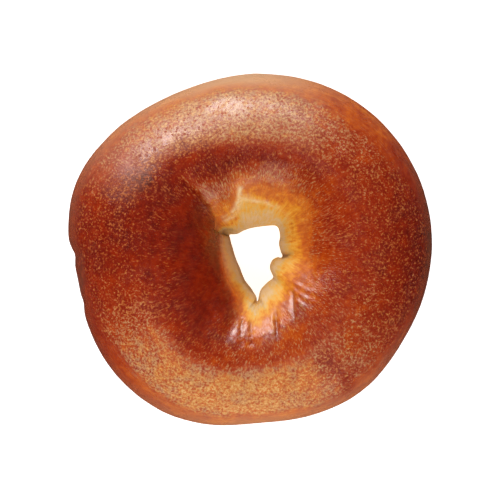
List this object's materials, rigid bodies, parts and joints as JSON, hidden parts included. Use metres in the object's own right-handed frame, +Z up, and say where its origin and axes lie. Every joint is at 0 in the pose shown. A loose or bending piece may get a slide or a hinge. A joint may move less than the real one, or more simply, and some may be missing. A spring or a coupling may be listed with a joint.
{
  "type": "plain bagel",
  "caption": "Whole ring-shaped bread roll with a glossy browned crust, a flat foot and a small puckered hole.",
  "frame": {"origin": "centre of the bounding box at the level of the flat foot", "axes": "+Z up out of the crust's top, +X along the longest way across, +Y along the short way across"},
  "size_m": [0.11, 0.1066, 0.037],
  "materials": {
    "crust": "glossy browned bread crust, paler in the hole and on the foot"
  },
  "bodies": {
    "root": {"bagel": "crust"}
  },
  "joints": []
}
